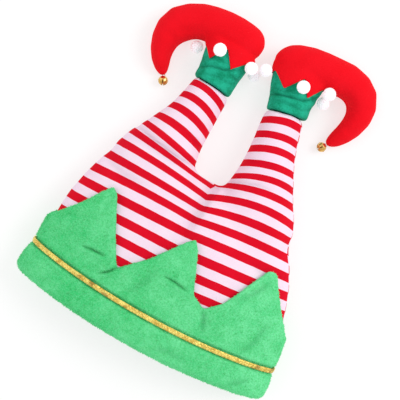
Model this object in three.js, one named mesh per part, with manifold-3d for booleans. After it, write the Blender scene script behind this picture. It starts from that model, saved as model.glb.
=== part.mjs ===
// Striped elf hat with two stuffed legs, lying on its back
//
// X runs across the brim, Y from the brim to the boots and Z up from the surface
// that the hat lies on. The origin is under the middle of the hat. The crown is a
// hollow knitted bag that parts into two stuffed legs. A plush band is turned up
// round its open edge, and each leg ends in a velvet collar and a felt boot.

import * as THREE from "three";
import { mergeVertices } from "three/addons/utils/BufferGeometryUtils.js";
import Module from "manifold-3d";

const wasm = await Module();
wasm.setup();

// Driving sizes in millimetres
const GAP = 0.3; // between pieces that touch
const BAND_FIT = 0.6; // between the crown's edge and the band folded round it
const KNIT = 2.4; // wall of the knitted crown
const PLUSH = 4.7; // turned-up outer layer of the band, with its pile
const TURN_IN = 3; // layer of the band that is turned in under the crown
const TURN_IN_HIGH = 30; // how far it reaches up inside
const FELT = 2.2; // wall of the boots round the collars
const SLOT = 8; // the crown's edge stops this far above the band's lower edge
const BRAID_WIDE = 5.4;
const BRAID_THICK = 1.2;
const BRAID_ALONG = 34.5; // middle of the braid above the band's lower edge
const BRIM_Y = -32; // lower edge of the band at its lowest
const SAG = 0.0006; // how the lower edge curves up to both sides
const SAG_AT = -15; // where it is lowest
const SAG_ENDS = 120; // the curve has died out this far above the lower edge
const ROLL = 2.4; // how much fuller the band is at its lower edge
const LIFT = 3.2; // how far the points stand off the crown at their tips
const DOME = 2.3; // roundness of a section's upper half, 2 for an ellipse
const FLAT = 4; // the same for the crown's lower half, which lies on the surface
const LIMB_DOME = 2.1; // the same for legs and feet
const LIMB_FLAT = 2.5;
const POMPOM = 7; // radius
const BELL = 5; // radius

// Sections of the crown, by their distance above the lower edge of the band
const CROWN = [
  { along: 0, left: -135.5, right: 134.5, under: 5, top: 45 },
  { along: 40, left: -133.5, right: 132, under: 5, top: 50 },
  { along: 75, left: -134.5, right: 127.5, under: 5, top: 52 },
  { along: 100, left: -133.5, right: 121.5, under: 5, top: 52 },
  { along: 120, left: -130, right: 115.5, under: 5, top: 51 },
  { along: 140, left: -125.5, right: 106.5, under: 4.5, top: 49 },
  { along: 156, left: -120, right: 96.5, under: 1, top: 47 },
  { along: 170, left: -112.5, right: 86, under: 0, top: 43 },
  { along: 179, left: -102, right: 76, under: 1, top: 36 },
  { along: 183, left: -90, right: 64, under: 6, top: 26 },
];
const HOLLOW_ENDS = 158; // inside end of the head space, where the filling starts
const HOLLOW_ROUND = 30; // length of its rounded end

// Legs, from inside the crown through the ankle to inside the boot
const LEGS = {
  left: [
    { x: -68, y: 96, half: 44, low: 8, top: 40 },
    { x: -75, y: 122, half: 44.5, low: 1, top: 47 },
    { x: -70.5, y: 148, half: 41, low: -1, top: 48 },
    { x: -67.6, y: 171, half: 32.2, low: -1.5, top: 45 },
    { x: -63.5, y: 194, half: 25.8, low: -1.5, top: 42 },
    { x: -61.5, y: 215, half: 23, low: -1.5, top: 39 },
    { x: -59.7, y: 233.5, half: 21.4, low: -1.2, top: 36 },
    { x: -59.5, y: 248, half: 21.6, low: 2.4, top: 35 },
    { x: -60, y: 262, half: 24, low: 2.6, top: 36 },
    { x: -60.5, y: 277, half: 26, low: 2.6, top: 36 },
  ],
  right: [
    { x: 48, y: 96, half: 43, low: 8, top: 40 },
    { x: 51, y: 122, half: 44, low: 1, top: 47 },
    { x: 41.5, y: 149, half: 42, low: -1, top: 48 },
    { x: 36.5, y: 175, half: 33, low: -1.5, top: 45 },
    { x: 31.5, y: 197, half: 26.5, low: -1.5, top: 42 },
    { x: 26.5, y: 219, half: 23.2, low: -1.5, top: 39 },
    { x: 21, y: 246.3, half: 21.6, low: -1.2, top: 36 },
    { x: 18, y: 260, half: 22.5, low: 2.4, top: 35 },
    { x: 15.5, y: 273, half: 26, low: 2.6, top: 36 },
    { x: 13, y: 292, half: 29, low: 2.6, top: 36 },
  ],
};
const ANKLE_ROW = 6; // the row where the knitted leg ends and the collar starts
const CUFF_ROW = 7.2; // the felt of the boot starts here, before it is cut into points

// Feet, from the heel to the tip of the curled toe
const FEET = {
  left: [
    { x: -32.5, y: 288.5, half: 5, low: 8, top: 26 },
    { x: -37.5, y: 289, half: 14, low: 1, top: 34 },
    { x: -48, y: 290, half: 18.5, low: -1.5, top: 38 },
    { x: -66, y: 291, half: 19, low: -1.5, top: 39 },
    { x: -87, y: 289.5, half: 18.5, low: -1.5, top: 38 },
    { x: -106, y: 284, half: 18, low: -1.5, top: 36 },
    { x: -121, y: 270.5, half: 18.5, low: -1.5, top: 34 },
    { x: -125, y: 252.5, half: 14.5, low: -1.2, top: 30 },
    { x: -120.5, y: 236, half: 10.8, low: -0.8, top: 24 },
    { x: -113, y: 225, half: 7, low: 0, top: 17 },
    { x: -109, y: 220.3, half: 3, low: 3, top: 11 },
  ],
  right: [
    { x: -16.5, y: 288.5, half: 5, low: 8, top: 26 },
    { x: -11.5, y: 291, half: 12.5, low: 1, top: 34 },
    { x: -1.5, y: 295, half: 18.5, low: -1.5, top: 38 },
    { x: 18, y: 300.5, half: 20, low: -1.5, top: 40 },
    { x: 42, y: 304.5, half: 18.8, low: -1.5, top: 40 },
    { x: 64, y: 306, half: 17.6, low: -1.5, top: 38 },
    { x: 80, y: 297.5, half: 16.4, low: -1.5, top: 35 },
    { x: 86.5, y: 280, half: 13.6, low: -1.2, top: 31 },
    { x: 82.5, y: 261, half: 10.8, low: -0.8, top: 25 },
    { x: 75.5, y: 247.5, half: 7.4, low: 0, top: 17 },
    { x: 71.5, y: 242, half: 3, low: 3, top: 11 },
  ],
};

// Lower edge of each boot as seen from above, a tip or a notch in each row
const ZIGZAG = {
  left: [
    { x: -95, y: 261 },
    { x: -88, y: 270 },
    { x: -74.5, y: 254.5 },
    { x: -62.5, y: 271 },
    { x: -50.5, y: 255 },
    { x: -38, y: 270 },
    { x: -28, y: 262 },
  ],
  right: [
    { x: -21, y: 270 },
    { x: -11, y: 278 },
    { x: 5, y: 265 },
    { x: 19, y: 284 },
    { x: 30, y: 268 },
    { x: 41, y: 286 },
    { x: 50, y: 282 },
  ],
};

// Upper edge of the band from the right side seam over the front to the left one,
// with the number of steps to the next row; the back repeats it
const POINTS = [
  { x: 128, along: 74, steps: 3 },
  { x: 121, along: 86, steps: 2 },
  { x: 101, along: 116, steps: 1 },
  { x: 88, along: 135, steps: 1 },
  { x: 80, along: 134, steps: 2 },
  { x: 57.5, along: 83, steps: 1 },
  { x: 43, along: 69, steps: 1 },
  { x: 28.5, along: 76, steps: 2 },
  { x: 10.5, along: 117, steps: 1 },
  { x: 3.5, along: 125.5, steps: 1 },
  { x: -4, along: 118, steps: 2 },
  { x: -24.5, along: 89, steps: 2 },
  { x: -50, along: 62, steps: 2 },
  { x: -68, along: 93, steps: 1 },
  { x: -84, along: 125, steps: 1 },
  { x: -91, along: 130, steps: 1 },
  { x: -98, along: 121, steps: 1 },
  { x: -112, along: 98, steps: 2 },
  { x: -126, along: 79, steps: 3 },
  { x: -136, along: 66, steps: 0 },
];

const POMPOMS = [
  { name: "pompom_left_toe", x: -93.3, y: 262.4, z: 8 },
  { name: "pompom_left_front", x: -68.5, y: 265.5, z: 44.9 },
  { name: "pompom_left_heel", x: -33, y: 266.5, z: 33.8 },
  { name: "pompom_left_back", x: -27.7, y: 266.1, z: 7.5 },
  { name: "pompom_right_heel", x: -19.6, y: 273.4, z: 26.1 },
  { name: "pompom_right_front", x: 21, y: 274.5, z: 43.7 },
  { name: "pompom_right_toe", x: 47.4, y: 282.9, z: 33.2 },
  { name: "pompom_right_back", x: 48, y: 275.3, z: 14 },
];
const BELLS = [
  { name: "bell_left", x: -106.5, y: 215.2, z: 6.5 },
  { name: "bell_right", x: 69.2, y: 236.8, z: 6.5 },
];

// Looks
const KNIT_LOOK = { color: 0xd61a30, roughness: 0.85, metalness: 0 };
const PLUSH_LOOK = { color: 0x4bd27d, roughness: 0.95, metalness: 0 };
const BRAID_LOOK = { color: 0xd7aa3c, roughness: 0.35, metalness: 0.9 };
const VELVET_LOOK = { color: 0x14825f, roughness: 0.8, metalness: 0 };
const FELT_LOOK = { color: 0xe6141e, roughness: 0.9, metalness: 0 };
const POMPOM_LOOK = { color: 0xf4f4f6, roughness: 1, metalness: 0 };
const BELL_LOOK = { color: 0xd9b05a, roughness: 0.3, metalness: 1 };

// Solids

// A closed geometry as a solid, its faces turned outwards
function solidOf(geometry) {
  const plain = new THREE.BufferGeometry();
  plain.setAttribute("position", geometry.getAttribute("position"));
  if (geometry.index) plain.setIndex(geometry.index);
  const merged = mergeVertices(plain, 1e-4);
  const triVerts = new Uint32Array(merged.index.array);
  const build = () =>
    new wasm.Manifold(
      new wasm.Mesh({
        numProp: 3,
        vertProperties: merged.attributes.position.array,
        triVerts,
      }),
    );
  const made = build();
  if (made.volume() > 0) return made;
  for (let i = 0; i < triVerts.length; i += 3) {
    [triVerts[i + 1], triVerts[i + 2]] = [triVerts[i + 2], triVerts[i + 1]];
  }
  return build();
}

// A solid back to a geometry
function geometryOf(solid) {
  const mesh = solid.getMesh();
  const geometry = new THREE.BufferGeometry();
  const points = new THREE.BufferAttribute(mesh.vertProperties, 3);
  geometry.setAttribute("position", points);
  geometry.setIndex(new THREE.BufferAttribute(mesh.triVerts, 1));
  geometry.computeVertexNormals();
  return geometry;
}

function pieceOf(name, solid, look) {
  const mesh = new THREE.Mesh(
    geometryOf(solid),
    new THREE.MeshStandardMaterial(look),
  );
  mesh.name = name;
  return mesh;
}

// Shapes

// One column of a table at a value between its rows, as a smooth curve
function read(rows, key, value, column) {
  const last = rows.length - 1;
  let i = 0;
  while (i < last - 1 && value > rows[i + 1][key]) i += 1;
  const width = rows[i + 1][key] - rows[i][key];
  const t = Math.min(Math.max((value - rows[i][key]) / width, 0), 1);
  const slope = (k) => {
    const a = rows[Math.max(k - 1, 0)];
    const b = rows[Math.min(k + 1, last)];
    return (b[column] - a[column]) / (b[key] - a[key]);
  };
  const p = rows[i][column];
  const q = rows[i + 1][column];
  const m = slope(i) * width;
  const n = slope(i + 1) * width;
  const tt = t * t;
  const ttt = tt * t;
  return (
    p * (2 * ttt - 3 * tt + 1) +
    m * (ttt - 2 * tt + t) +
    q * (3 * tt - 2 * ttt) +
    n * (ttt - tt)
  );
}

// Where a section goes at an angle: domed above, flat below, widest low down
function outline(angle, half, low, top, dome, flat) {
  const c = Math.cos(angle);
  const s = Math.sin(angle);
  const widest = low + 0.42 * (top - low);
  const power = 2 / (s > 0 ? dome : flat);
  return {
    across: half * Math.sign(c) * Math.abs(c) ** power,
    z:
      s > 0
        ? widest + (top - widest) * s ** power
        : widest - (widest - low) * Math.abs(s) ** power,
  };
}

// The same, moved outwards square to the section
function offsetOutline(angle, off, ...size) {
  const at = outline(angle, ...size);
  if (off === 0) return at;
  const before = outline(angle - 0.02, ...size);
  const after = outline(angle + 0.02, ...size);
  const da = after.across - before.across;
  const dz = after.z - before.z;
  const long = Math.hypot(da, dz);
  return {
    across: at.across + (off * dz) / long,
    z: at.z - (off * da) / long,
  };
}

// A point of the crown's outer face, or off it, with Y following the sagging edge
function onCrown(along, angle, off) {
  const inside = Math.min(Math.max(along, 0), CROWN.at(-1).along);
  const left = read(CROWN, "along", inside, "left");
  const right = read(CROWN, "along", inside, "right");
  const low = read(CROWN, "along", inside, "under");
  const top = read(CROWN, "along", inside, "top");
  const half = (right - left) / 2;
  const at = offsetOutline(angle, off, half, low, top, DOME, FLAT);
  const x = (left + right) / 2 + at.across;
  const fade = Math.min(Math.max(1 - along / SAG_ENDS, 0), 1);
  const sag = SAG * (x - SAG_AT) ** 2 * fade * (2 - fade);
  return new THREE.Vector3(x, BRIM_Y + sag + along, Math.max(at.z, 0));
}

// Evenly spaced angles once round
function evenly(count) {
  return Array.from({ length: count }, (_, k) => (k / count) * 2 * Math.PI);
}

// A ball whose parallels are put where ring(share, angle) says; its poles close the ends
function bodyOf(angles, rings, ring) {
  const around = angles.length;
  const ball = new THREE.SphereGeometry(1, around, rings + 1);
  const points = ball.attributes.position;
  for (let i = 0; i <= rings + 1; i += 1) {
    const end = i === 0 || i === rings + 1;
    const share = Math.min(Math.max((i - 1) / (rings - 1), 0), 1);
    const middle = new THREE.Vector3();
    for (const angle of angles) {
      middle.addScaledVector(ring(share, angle), 1 / around);
    }
    for (let k = 0; k <= around; k += 1) {
      const at = end ? middle : ring(share, angles[k % around]);
      points.setXYZ(i * (around + 1) + k, at.x, at.y, at.z);
    }
  }
  return solidOf(ball);
}

// A point of a leg or foot: rows give the middle line, the half width and the height
function onLimb(rows, row, angle, off) {
  const share = row / (rows.length - 1);
  const line = new THREE.CatmullRomCurve3(
    rows.map((r) => new THREE.Vector3(r.x, r.y, 0)),
  );
  const size = new THREE.CatmullRomCurve3(
    rows.map((r) => new THREE.Vector3(r.half, r.low, r.top)),
  );
  const middle = line.getPoint(share);
  const ahead = line.getTangent(share);
  const { x: half, y: low, z: top } = size.getPoint(share);
  const at = offsetOutline(angle, off, half, low, top, LIMB_DOME, LIMB_FLAT);
  return new THREE.Vector3(
    middle.x + ahead.y * at.across,
    middle.y - ahead.x * at.across,
    Math.max(at.z, 0),
  );
}

function limb(rows, from, to, around, rings, off = 0) {
  return bodyOf(evenly(around), rings, (share, angle) =>
    onLimb(rows, from + (to - from) * share, angle, off),
  );
}

// How many rows of a leg's table make a given length at a row
function rowsFor(rows, row, length) {
  const a = rows[Math.floor(row)];
  const b = rows[Math.min(Math.floor(row) + 1, rows.length - 1)];
  return length / Math.hypot(b.x - a.x, b.y - a.y);
}

// Steps round the band, each with its angle and the height of the upper edge there
function bandSteps() {
  const front = [];
  for (let i = 0; i < POINTS.length - 1; i += 1) {
    const { x, along, steps } = POINTS[i];
    const next = POINTS[i + 1];
    for (let k = 0; k < steps; k += 1) {
      const t = k / steps;
      front.push({ x: x + (next.x - x) * t, top: along + (next.along - along) * t });
    }
  }
  front.push({ x: POINTS.at(-1).x, top: POINTS.at(-1).along });
  for (const step of front) {
    const left = read(CROWN, "along", step.top, "left");
    const right = read(CROWN, "along", step.top, "right");
    const share = ((step.x - (left + right) / 2) * 2) / (right - left);
    const c = Math.sign(share) * Math.min(Math.abs(share), 1) ** (DOME / 2);
    step.angle = Math.acos(c);
  }
  const back = front.slice(1, -1).reverse();
  return [...front, ...back.map(({ top, angle }) => ({ top, angle: -angle }))];
}
const STEPS = bandSteps();
const ANGLES = STEPS.map(({ angle }) => angle);

// Crown: the bag and both legs in one, with the head space cut out of it
function crown() {
  const end = CROWN.at(-1).along;
  let solid = bodyOf(ANGLES, 11, (share, angle) =>
    onCrown(SLOT + (end - SLOT) * share, angle, 0),
  );
  for (const rows of Object.values(LEGS)) {
    const back = rowsFor(rows, ANKLE_ROW, GAP / 2);
    solid = solid.add(limb(rows, 0, ANKLE_ROW - back, 24, 10));
  }
  const from = -SLOT;
  const hollow = bodyOf(ANGLES, 9, (share, angle) => {
    const along = from + (HOLLOW_ENDS - from) * share;
    const over = Math.max(along - (HOLLOW_ENDS - HOLLOW_ROUND), 0) / HOLLOW_ROUND;
    const narrow = Math.sqrt(Math.max(1 - over * over * 0.9, 0));
    const at = onCrown(along, angle, -KNIT);
    const middle = onCrown(along, Math.PI / 2, -KNIT);
    middle.z = (middle.z + onCrown(along, -Math.PI / 2, -KNIT).z) / 2;
    at.x = middle.x + (at.x - middle.x) * (0.4 + 0.6 * narrow);
    at.z = middle.z + (at.z - middle.z) * narrow;
    return at;
  });
  return solid.subtract(hollow);
}

// A closed profile turned once round the crown
function ringOf(profile) {
  const steps = STEPS.length;
  const count = profile(STEPS[0]).length;
  const seed = [];
  for (let j = 0; j <= count; j += 1) seed.push(new THREE.Vector2(1, j));
  const ring = new THREE.LatheGeometry(seed, steps);
  const points = ring.attributes.position;
  for (let i = 0; i <= steps; i += 1) {
    const step = STEPS[i % steps];
    const rows = profile(step);
    for (let j = 0; j <= count; j += 1) {
      const row = rows[j % count];
      const at = onCrown(row.along, step.angle, row.off);
      points.setXYZ(i * (count + 1) + j, at.x, at.y, at.z);
    }
  }
  return solidOf(ring);
}

// Band: turned-up outer layer with the points, rolled lower edge, turned-in layer
function brimBand() {
  const gap = BAND_FIT;
  const out = PLUSH + gap;
  const inner = -KNIT - gap;
  const deep = inner - TURN_IN;
  const groove = out - BRAID_THICK - GAP;
  const low = BRAID_ALONG - BRAID_WIDE / 2 - GAP;
  const high = BRAID_ALONG + BRAID_WIDE / 2 + GAP;
  return ringOf(({ top, angle }) => {
    const front = Math.max(Math.sin(angle), 0);
    const lift = (along) =>
      LIFT * front * Math.min(Math.max((along - 60) / 65, 0), 1) ** 1.5;
    const mid = high + (top - high) * 0.5;
    return [
      { off: gap + lift(top), along: top - 1.6 },
      { off: gap + PLUSH * 0.45 + lift(top), along: top },
      { off: out - 0.4 + lift(top), along: top - 2 },
      { off: out + lift(mid), along: mid },
      { off: out, along: high },
      { off: groove, along: high },
      { off: groove, along: low },
      { off: out, along: low },
      { off: out + ROLL, along: 17 },
      { off: out + ROLL, along: 5 },
      { off: out * 0.75, along: 0.6 },
      { off: -KNIT / 2, along: 0 },
      { off: deep * 0.75, along: 1.5 },
      { off: deep, along: 6 },
      { off: deep, along: TURN_IN_HIGH - 1.5 },
      { off: inner - TURN_IN / 2, along: TURN_IN_HIGH },
      { off: inner, along: TURN_IN_HIGH - 1.5 },
      { off: inner, along: SLOT - gap },
      { off: gap, along: SLOT - gap },
      { off: gap, along: high },
      { off: gap + lift(mid), along: mid },
    ];
  });
}

// Braid: a flat metallic ribbon laid in the pile all round the band
function goldBraid() {
  const inside = PLUSH + BAND_FIT - BRAID_THICK;
  return ringOf(() => [
    { off: inside, along: BRAID_ALONG - BRAID_WIDE / 2 },
    { off: inside, along: BRAID_ALONG + BRAID_WIDE / 2 },
    { off: inside + BRAID_THICK, along: BRAID_ALONG + BRAID_WIDE / 2 },
    { off: inside + BRAID_THICK, along: BRAID_ALONG - BRAID_WIDE / 2 },
  ]);
}

// Collar: the stuffed ankle above the knit, up into the boot
function collar(side) {
  const rows = LEGS[side];
  const start = ANKLE_ROW + rowsFor(rows, ANKLE_ROW, GAP / 2);
  return limb(rows, start, rows.length - 1, 24, 6);
}

// Boot: the stuffed foot and a felt cuff over the collar, cut into points
function boot(side) {
  const leg = LEGS[side];
  const last = leg.length - 1;
  const cuff = limb(leg, CUFF_ROW, last, 24, 5, GAP + FELT);
  const inside = limb(leg, CUFF_ROW - 0.6, last, 24, 7, GAP);
  const cap = limb(leg, last - 0.5, last, 24, 3, GAP).translate([0, 2 * GAP, 0]);
  const foot = limb(FEET[side], 0, FEET[side].length - 1, 20, 18);
  const saw = new THREE.Shape();
  const rows = ZIGZAG[side];
  saw.moveTo(rows[0].x, rows[0].y - 60);
  for (const row of rows) saw.lineTo(row.x, row.y);
  saw.lineTo(rows.at(-1).x, rows.at(-1).y - 60);
  const teeth = new THREE.ExtrudeGeometry(saw, { depth: 120, bevelEnabled: false });
  teeth.translate(0, 0, -30);
  return cuff.add(foot).subtract(inside).subtract(cap).subtract(solidOf(teeth));
}

// Pompom: the outer form of its cut pile
function pompom() {
  return solidOf(new THREE.SphereGeometry(POMPOM, 10, 7));
}

// Bell: two pressed halves that meet in a rim, with crossed slots below
function bell() {
  const profile = [];
  const steps = 8;
  for (let i = 0; i <= steps; i += 1) {
    const angle = -Math.PI / 2 + (Math.PI * i) / steps;
    const rim = i === steps / 2 ? 1.07 : 1;
    const r = i === 0 || i === steps ? 0 : BELL * rim * Math.cos(angle);
    profile.push(new THREE.Vector2(r, BELL * Math.sin(angle)));
  }
  const ball = solidOf(new THREE.LatheGeometry(profile, 12));
  const slot = new THREE.BoxGeometry(BELL * 1.5, BELL, 0.9);
  const across = new THREE.BoxGeometry(0.9, BELL, BELL * 1.5);
  slot.translate(0, -BELL * 1.1, 0);
  across.translate(0, -BELL * 1.1, 0);
  return ball.subtract(solidOf(slot).add(solidOf(across)));
}

const hat = new THREE.Group();
hat.add(pieceOf("crown", crown(), KNIT_LOOK));
hat.add(pieceOf("brim_band", brimBand(), PLUSH_LOOK));
hat.add(pieceOf("gold_braid", goldBraid(), BRAID_LOOK));
for (const side of ["left", "right"]) {
  hat.add(pieceOf("ankle_collar_" + side, collar(side), VELVET_LOOK));
  hat.add(pieceOf("boot_" + side, boot(side), FELT_LOOK));
}
for (const row of POMPOMS) {
  const ball = pieceOf(row.name, pompom(), POMPOM_LOOK);
  ball.position.set(row.x, row.y, row.z);
  hat.add(ball);
}
for (const row of BELLS) {
  const ball = pieceOf(row.name, bell(), BELL_LOOK);
  ball.position.set(row.x, row.y, row.z);
  hat.add(ball);
}

// The origin goes under the middle of the whole hat
const box = new THREE.Box3().setFromObject(hat, true);
const middle = box.getCenter(new THREE.Vector3());
hat.position.set(-middle.x, -middle.y, -box.min.z);

export default hat;
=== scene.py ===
# %% [markdown]
# # A striped elf hat with stuffed legs, laid on its back
#
# The hat's solids are loaded first as a fixed frame. They say where every piece is and
# how big it is, in metres. Everything soft is then made again on top of them, finer,
# with its seams, creases and pile, because a faceted solid doesn't look like cloth.

# %% The frame
import math

import bmesh
import bpy
import numpy as np
from mathutils import Matrix, Vector
from mathutils.bvhtree import BVHTree
from mathutils.kdtree import KDTree


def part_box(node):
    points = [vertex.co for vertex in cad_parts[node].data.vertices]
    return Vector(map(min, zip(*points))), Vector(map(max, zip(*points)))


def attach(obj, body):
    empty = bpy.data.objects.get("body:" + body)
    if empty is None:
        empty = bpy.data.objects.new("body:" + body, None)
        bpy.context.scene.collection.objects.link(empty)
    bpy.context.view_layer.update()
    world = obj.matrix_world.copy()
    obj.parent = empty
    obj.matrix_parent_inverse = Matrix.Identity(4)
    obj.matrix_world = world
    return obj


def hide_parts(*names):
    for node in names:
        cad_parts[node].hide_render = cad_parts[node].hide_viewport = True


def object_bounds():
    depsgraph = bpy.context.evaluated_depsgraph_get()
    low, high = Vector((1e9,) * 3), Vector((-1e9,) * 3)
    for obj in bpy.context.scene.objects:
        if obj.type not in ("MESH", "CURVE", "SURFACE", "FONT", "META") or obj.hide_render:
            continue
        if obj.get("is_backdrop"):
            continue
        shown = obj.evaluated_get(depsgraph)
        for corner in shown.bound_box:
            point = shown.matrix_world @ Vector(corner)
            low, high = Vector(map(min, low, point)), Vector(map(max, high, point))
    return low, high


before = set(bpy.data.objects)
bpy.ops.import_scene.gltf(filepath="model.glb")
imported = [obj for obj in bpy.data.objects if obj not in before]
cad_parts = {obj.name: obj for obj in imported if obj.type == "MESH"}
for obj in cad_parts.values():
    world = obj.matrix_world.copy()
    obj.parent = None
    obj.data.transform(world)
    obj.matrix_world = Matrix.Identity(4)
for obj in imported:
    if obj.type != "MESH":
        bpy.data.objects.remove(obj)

MM = 0.001
CAD_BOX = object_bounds()
LIES_AT = Vector((0.515, -146.208, 0)) * MM  # where the maker's measures start from
print("nodes:", sorted(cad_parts))
print("box:", [tuple(round(v, 4) for v in corner) for corner in CAD_BOX])

# %% [markdown]
# ## Camera, floor and light
#
# The hat was photographed from straight above, close enough for the domed front of the
# band to look larger than its edges. A camera 850 mm up gives the same swelling. It is
# turned about its own axis so that the hat leans to the right in the picture. Its place
# and turns were fitted until the solids' outline lay on the photograph's. Light comes
# from broad soft sources, so the white floor stays almost without shadow.

# %% Camera
CAMERA_AT = Vector((-0.0118, -0.0162, 0.850))
CAMERA_ROLL = 0.5201
CAMERA_TILT = -0.0031
FOCAL_SHARE = 818.5 / 400

camera_data = bpy.data.cameras.new("overhead_camera")
camera_data.sensor_width = 36
camera_data.lens = 36 * FOCAL_SHARE
camera_data.clip_start = 0.05
camera_data.clip_end = 20
camera = bpy.data.objects.new("overhead_camera", camera_data)
camera.location = CAMERA_AT
turn = Matrix.Rotation(CAMERA_TILT, 3, "X") @ Matrix.Rotation(CAMERA_ROLL, 3, "Z")
camera.rotation_euler = turn.to_euler()
bpy.context.scene.collection.objects.link(camera)
bpy.context.scene.camera = camera
print("camera", tuple(round(v, 3) for v in camera.location), "lens", round(camera_data.lens, 1))


# %% Selecting and applying, used by every step below
def only(obj):
    """Select one object alone and make it the active one."""
    if bpy.context.object and bpy.context.object.mode != "OBJECT":
        bpy.ops.object.mode_set(mode="OBJECT")
    bpy.ops.object.select_all(action="DESELECT")
    obj.select_set(True)
    bpy.context.view_layer.objects.active = obj
    return obj


def finish_with(obj, kind, **settings):
    """Add a modifier, set it and apply it."""
    only(obj)
    modifier = obj.modifiers.new(kind.lower(), kind)
    for key, value in settings.items():
        setattr(modifier, key, value)
    bpy.ops.object.modifier_apply(modifier=modifier.name)
    return obj


def points_of(obj):
    """All vertices of a mesh as one array."""
    flat = np.empty(len(obj.data.vertices) * 3)
    obj.data.vertices.foreach_get("co", flat)
    return flat.reshape(-1, 3)


def put_points(obj, points):
    obj.data.vertices.foreach_set("co", np.ascontiguousarray(points, dtype=np.float32).ravel())
    obj.data.update()


def normals_of(obj):
    flat = np.empty(len(obj.data.vertices) * 3, np.float32)
    obj.data.vertex_normals.foreach_get("vector", flat)
    return flat.reshape(-1, 3).astype(float)


def cloth_copy(node, name):
    """A copy of a solid's mesh with its loose triangles merged."""
    obj = bpy.data.objects.new(name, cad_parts[node].data.copy())
    bpy.context.scene.collection.objects.link(obj)
    obj.data.materials.clear()
    only(obj)
    bpy.ops.object.mode_set(mode="EDIT")
    bpy.ops.mesh.select_all(action="SELECT")
    bpy.ops.mesh.remove_doubles(threshold=0.00002)
    bpy.ops.object.mode_set(mode="OBJECT")
    bpy.ops.object.shade_smooth()
    return obj


def even_skin(obj, size, passes):
    """Give the mesh an even net of squares and smooth its facets away."""
    finish_with(obj, "REMESH", mode="VOXEL", voxel_size=size, use_smooth_shade=True)
    finish_with(obj, "SMOOTH", factor=0.5, iterations=passes)
    return obj


def triangles(obj):
    return sum(len(p.vertices) - 2 for p in obj.data.polygons)


# %% Floor and lights
bpy.ops.object.select_all(action="DESELECT")
bpy.ops.mesh.primitive_plane_add(size=4)
floor = bpy.context.object
floor.name = "floor"
put_points(floor, points_of(floor) + [0, 0, -0.0002])
floor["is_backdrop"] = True


def soft_light(name, place, size, power):
    """A square lamp that faces the middle of the hat."""
    data = bpy.data.lights.new(name, "AREA")
    data.shape = "SQUARE"
    data.size = size
    data.energy = power
    lamp = bpy.data.objects.new(name, data)
    lamp.location = place
    lamp.rotation_euler = (-Vector(place)).to_track_quat("-Z", "Y").to_euler()
    bpy.context.scene.collection.objects.link(lamp)
    return lamp


soft_light("key_light", (1.0, 0.9, 1.3), 0.9, 13)
soft_light("fill_light", (-1.3, -0.3, 1.2), 1.4, 3.5)

world = bpy.data.worlds.new("studio")
bpy.context.scene.world = world
world.use_nodes = True
world.node_tree.nodes["Background"].inputs["Color"].default_value = (1, 1, 1, 1)
world.node_tree.nodes["Background"].inputs["Strength"].default_value = 0.80
bpy.context.scene.view_settings.view_transform = "Standard"
bpy.context.scene.view_settings.look = "None"

# %% [markdown]
# ## Writing materials as sums
#
# A material is a network of nodes. Wired by hand, a stripe takes a dozen of them, so a
# small class wraps a socket and lets Python's own signs add the nodes.


# %% Sockets that can be added and multiplied
class Value:
    """One output socket of a number, colour or vector."""

    def __init__(self, look, socket):
        self.look = look
        self.socket = socket

    def _math(self, operation, first, second=None):
        inputs = {0: first} if second is None else {0: first, 1: second}
        return self.look.node("ShaderNodeMath", {"operation": operation}, inputs)[0]

    def __add__(self, other):
        return self._math("ADD", self, other)

    def __radd__(self, other):
        return self._math("ADD", other, self)

    def __sub__(self, other):
        return self._math("SUBTRACT", self, other)

    def __rsub__(self, other):
        return self._math("SUBTRACT", other, self)

    def __mul__(self, other):
        return self._math("MULTIPLY", self, other)

    def __rmul__(self, other):
        return self._math("MULTIPLY", other, self)

    def __truediv__(self, other):
        return self._math("DIVIDE", self, other)

    def __rtruediv__(self, other):
        return self._math("DIVIDE", other, self)

    def __pow__(self, other):
        return self._math("POWER", self, other)

    def fraction(self):
        return self._math("FRACT", self)

    def size(self):
        return self._math("ABSOLUTE", self)

    def step(self, low, high):
        """0 below low, 1 above high, smooth between."""
        settings = {"interpolation_type": "SMOOTHSTEP"}
        return self.look.node("ShaderNodeMapRange", settings, {0: self, 1: low, 2: high})[0]


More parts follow.
